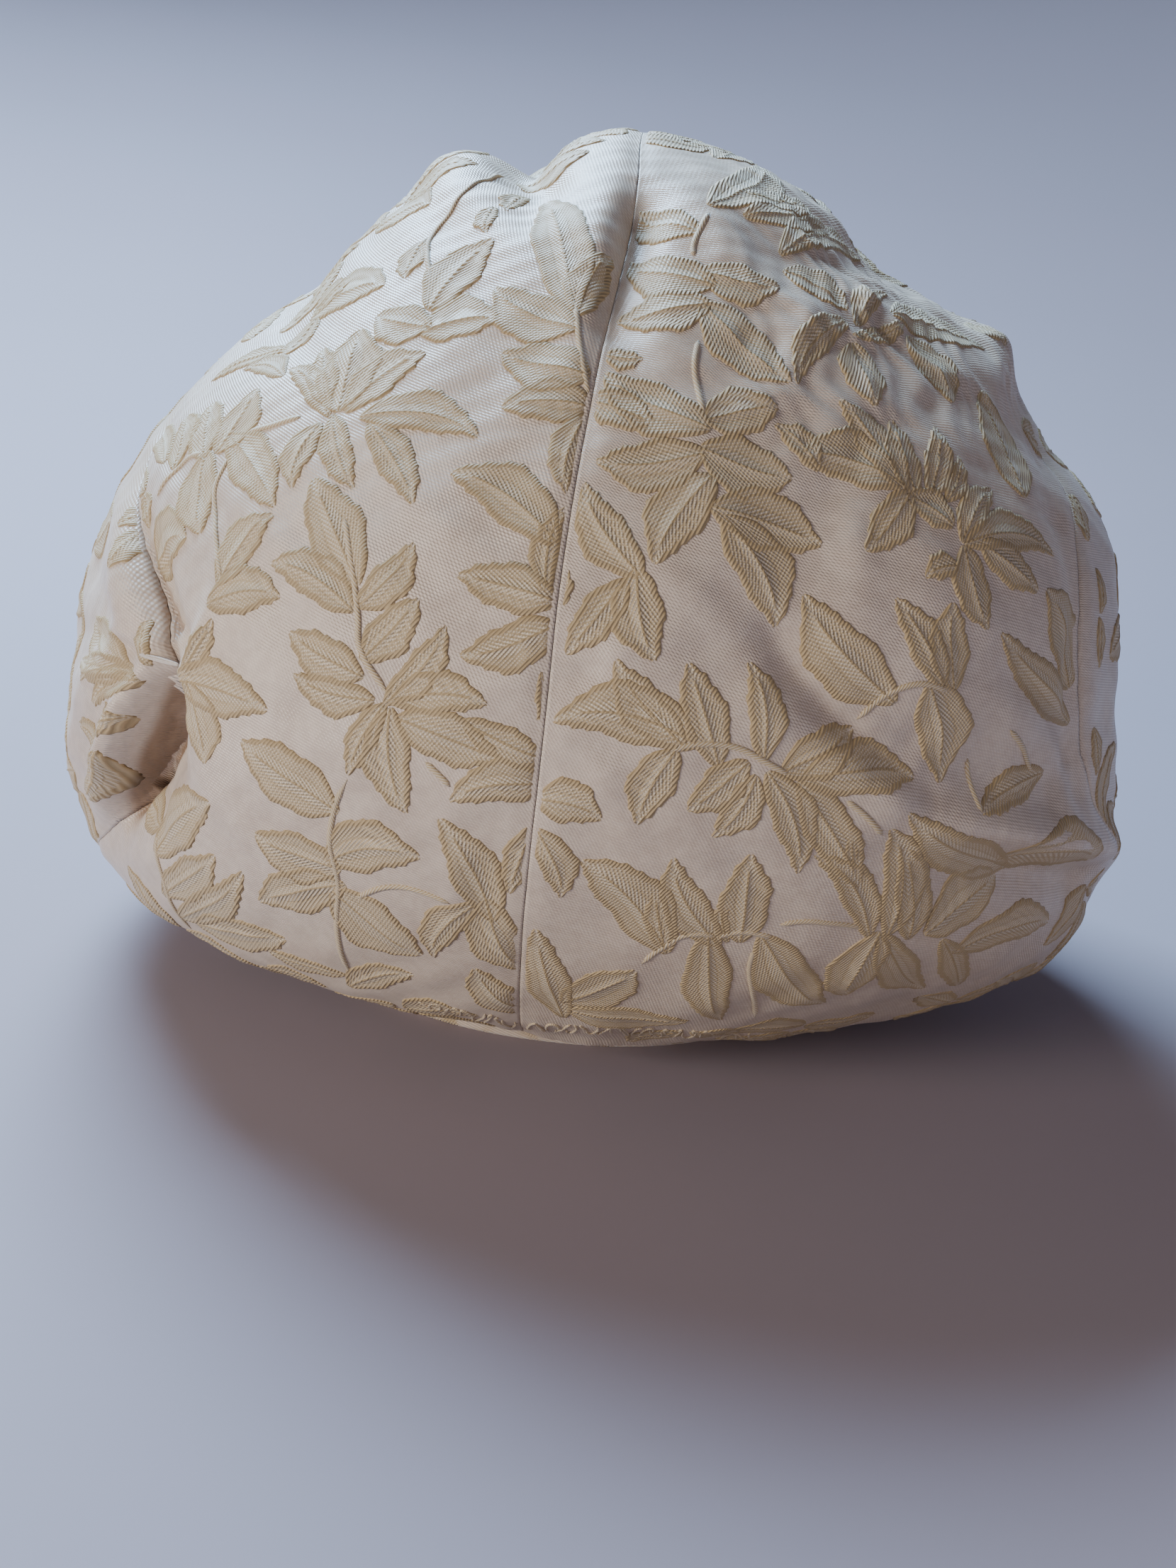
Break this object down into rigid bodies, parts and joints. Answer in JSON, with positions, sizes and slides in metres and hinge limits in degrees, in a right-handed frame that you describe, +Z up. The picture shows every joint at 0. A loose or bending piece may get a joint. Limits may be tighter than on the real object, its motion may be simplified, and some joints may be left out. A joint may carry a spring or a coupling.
{
  "type": "turban hat",
  "caption": "Soft, full turban hat in leaf brocade, sewn from back and front panels onto a head band, with a thread tack at one side.",
  "frame": {"origin": "on the surface under the middle of the hat's plan, at the lower edge of the head band", "axes": "+Z up through the crown, +Y towards the wearer's face, +X to the right as the hat is seen from behind"},
  "size_m": [0.3704, 0.3342, 0.2927],
  "materials": {
    "leaf_brocade": "satin ground with raised leaves",
    "band_brocade": "satin ground with raised leaves",
    "tack_thread": "matt twisted thread"
  },
  "bodies": {
    "root": {"back_panel_left": "leaf_brocade", "back_panel_right": "leaf_brocade", "front_panel": "leaf_brocade", "head_band": "band_brocade", "side_tack": "tack_thread"}
  },
  "joints": []
}
